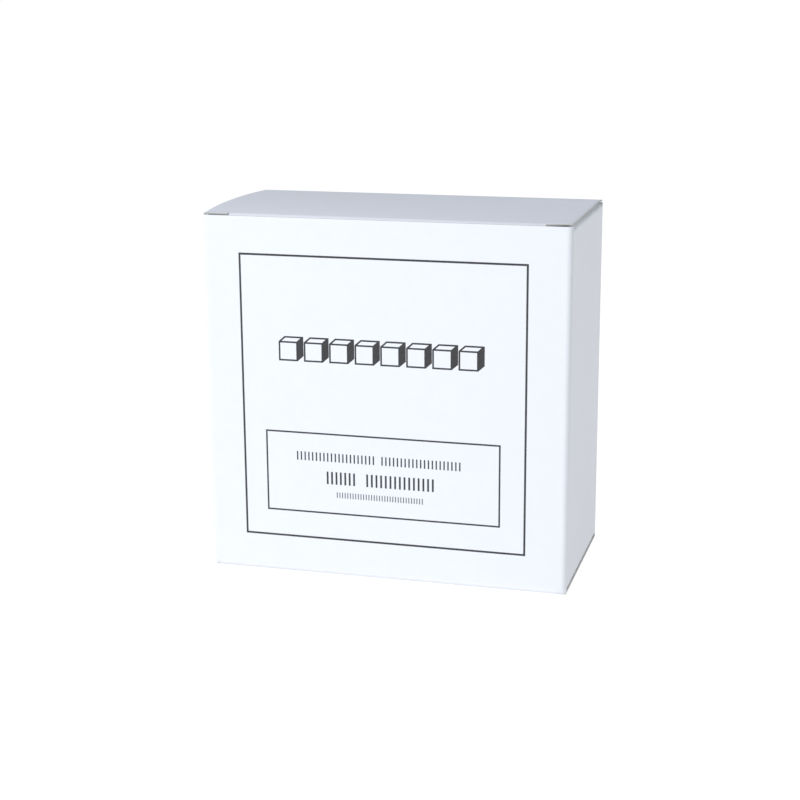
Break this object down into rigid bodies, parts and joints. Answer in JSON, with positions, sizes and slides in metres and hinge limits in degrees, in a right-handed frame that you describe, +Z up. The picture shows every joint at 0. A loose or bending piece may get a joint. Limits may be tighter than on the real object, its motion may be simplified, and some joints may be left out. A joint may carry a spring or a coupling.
{
  "type": "boxed gymnastics chalk blocks",
  "caption": "Upright white paperboard carton with a hinged tuck-in lid and bottom, packed with rectangular blocks of gymnastics grip chalk.",
  "frame": {"origin": "centre of the carton's base, in the plane that it stands on", "axes": "+Z up, -Y out of the printed front panel, +X towards the right side panel as seen from the front"},
  "size_m": [0.107, 0.055, 0.1072],
  "materials": {
    "board": "satin",
    "glue": "satin",
    "chalk": "matte",
    "ink": "matte"
  },
  "bodies": {
    "carton": {"front_panel": "board", "back_panel": "board", "left_side_panel": "board", "right_side_panel": "board", "glue_flap": "board", "glue_line": "glue", "chalk_block_lower_front_left": "chalk", "chalk_block_lower_front_right": "chalk", "chalk_block_lower_back_left": "chalk", "chalk_block_lower_back_right": "chalk", "chalk_block_upper_front_left": "chalk", "chalk_block_upper_front_right": "chalk", "chalk_block_upper_back_left": "chalk", "chalk_block_upper_back_right": "chalk"},
    "lid": {"lid_panel": "board"},
    "lid_tuck": {"lid_tuck_flap": "board"},
    "lid_left_dust": {"lid_left_dust_flap": "board"},
    "lid_right_dust": {"lid_right_dust_flap": "board"},
    "bottom": {"bottom_panel": "board"},
    "bottom_tuck": {"bottom_tuck_flap": "board"},
    "bottom_left_dust": {"bottom_left_dust_flap": "board"},
    "bottom_right_dust": {"bottom_right_dust_flap": "board"}
  },
  "joints": [
    {"name": "lid_hinge", "type": "hinge", "parent": "carton", "child": "lid", "pos_m": [0, 0.0275, 0.1063], "axis": [-1, 0, 0], "range_deg": [0, 175]},
    {"name": "lid_tuck_fold", "type": "hinge", "parent": "lid", "child": "lid_tuck", "pos_m": [0, -0.02675, 0.1063], "axis": [-1, 0, 0], "range_deg": [0, 28.3]},
    {"name": "lid_left_dust_fold", "type": "hinge", "parent": "carton", "child": "lid_left_dust", "pos_m": [-0.0535, 0, 0.1057], "axis": [0, -1, 0], "range_deg": [0, 96.3]},
    {"name": "lid_right_dust_fold", "type": "hinge", "parent": "carton", "child": "lid_right_dust", "pos_m": [0.0535, 0, 0.1057], "axis": [0, 1, 0], "range_deg": [0, 96.3]},
    {"name": "bottom_hinge", "type": "hinge", "parent": "carton", "child": "bottom", "pos_m": [0, -0.0275, 0], "axis": [-1, 0, 0], "range_deg": [0, 175]},
    {"name": "bottom_tuck_fold", "type": "hinge", "parent": "bottom", "child": "bottom_tuck", "pos_m": [0, 0.02675, 0], "axis": [-1, 0, 0], "range_deg": [0, 28.3]},
    {"name": "bottom_left_dust_fold", "type": "hinge", "parent": "carton", "child": "bottom_left_dust", "pos_m": [-0.0535, 0, 0.0006], "axis": [0, 1, 0], "range_deg": [0, 96.3]},
    {"name": "bottom_right_dust_fold", "type": "hinge", "parent": "carton", "child": "bottom_right_dust", "pos_m": [0.0535, 0, 0.0006], "axis": [0, -1, 0], "range_deg": [0, 96.3]}
  ],
  "couplings": [
    {"joint": "lid_tuck_fold", "follows": "lid_hinge", "ratio": 0.16},
    {"joint": "lid_left_dust_fold", "follows": "lid_hinge", "ratio": 0.55},
    {"joint": "lid_right_dust_fold", "follows": "lid_hinge", "ratio": 0.55},
    {"joint": "bottom_tuck_fold", "follows": "bottom_hinge", "ratio": 0.16},
    {"joint": "bottom_left_dust_fold", "follows": "bottom_hinge", "ratio": 0.55},
    {"joint": "bottom_right_dust_fold", "follows": "bottom_hinge", "ratio": 0.55}
  ]
}
